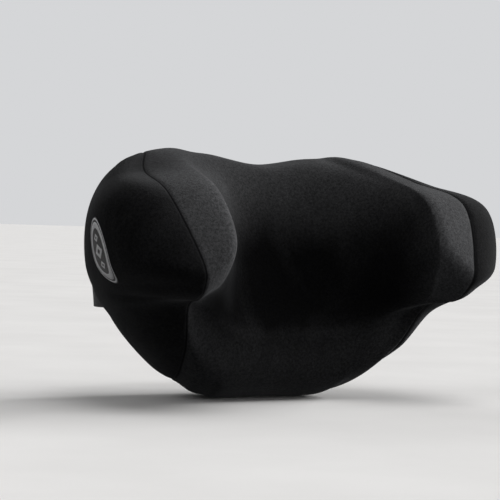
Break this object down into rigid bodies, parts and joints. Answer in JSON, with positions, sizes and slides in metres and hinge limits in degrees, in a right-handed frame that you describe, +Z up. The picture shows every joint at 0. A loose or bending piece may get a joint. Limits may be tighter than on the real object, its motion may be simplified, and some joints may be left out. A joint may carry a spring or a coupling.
{
  "type": "chair headrest pillow",
  "caption": "Winged foam neck pillow with a zipped velour cover, a flat back and a buckled elastic strap that goes round a headrest's posts.",
  "frame": {"origin": "middle of the flat back panel, where it rests on the headrest", "axes": "+Y out of the back towards the headrest, the front faces -Y, +X to the right seen from the front, +Z up"},
  "size_m": [0.414, 0.2639, 0.2368],
  "materials": {
    "velour": "short matte nap",
    "back_knit": "matte knit",
    "liner_cotton": "matte jersey",
    "memory_foam": "matte open cell foam",
    "badge_print": "printed patch",
    "label_satin": "satin ribbon",
    "zip_tape": "woven tape",
    "zip_coil": "moulded nylon",
    "zip_metal": "black enamel",
    "webbing": "ribbed elastic webbing",
    "acetal": "fine moulded grain"
  },
  "bodies": {
    "pillow": {"foam_core": "memory_foam", "inner_liner": "liner_cotton", "cover_front": "velour", "cover_side_left": "velour", "cover_side_right": "velour", "cover_back": "back_knit", "badge_patch": "badge_print", "care_label": "label_satin", "zip_tape_upper": "zip_tape", "zip_tape_lower": "zip_tape", "zip_coil_upper": "zip_coil", "zip_coil_lower": "zip_coil", "zip_stop_left": "zip_metal", "zip_stop_right": "zip_metal", "strap_left": "webbing", "strap_right": "webbing", "buckle_socket": "acetal"},
    "plug": {"buckle_plug": "acetal"},
    "arm_upper": {"buckle_arm_upper": "acetal"},
    "arm_lower": {"buckle_arm_lower": "acetal"},
    "adjuster": {"tri_glide": "acetal"},
    "slider": {"zip_slider": "zip_metal"},
    "pull": {"zip_pull": "zip_metal"}
  },
  "joints": [
    {"name": "buckle_slide", "type": "slide", "parent": "pillow", "child": "plug", "axis": [1, 0, 0], "range_m": [0, 0.0265], "deforming": ["strap_right"]},
    {"name": "arm_upper_flex", "type": "hinge", "parent": "plug", "child": "arm_upper", "pos_m": [-0.011, 0.064, -0.012], "axis": [0, -1, 0], "range_deg": [0, 18.2], "stiffness_Nm_per_rad": 0.02},
    {"name": "arm_lower_flex", "type": "hinge", "parent": "plug", "child": "arm_lower", "pos_m": [-0.011, 0.064, -0.036], "axis": [0, 1, 0], "range_deg": [0, 18.2], "stiffness_Nm_per_rad": 0.02},
    {"name": "adjuster_slide", "type": "slide", "parent": "pillow", "child": "adjuster", "axis": [1, 0, 0], "range_m": [-0.006, 0.009]},
    {"name": "zip_slide", "type": "slide", "parent": "pillow", "child": "slider", "axis": [-1, 0, 0], "range_m": [0, 0.178]},
    {"name": "pull_swing", "type": "hinge", "parent": "slider", "child": "pull", "pos_m": [0.0905, 0.0057, -0.062], "axis": [0, 0, -1], "range_deg": [0, 170]}
  ],
  "couplings": [
    {"joint": "arm_upper_flex", "follows": "buckle_slide", "rad_per_m": 11.9},
    {"joint": "arm_lower_flex", "follows": "buckle_slide", "rad_per_m": 11.9}
  ]
}
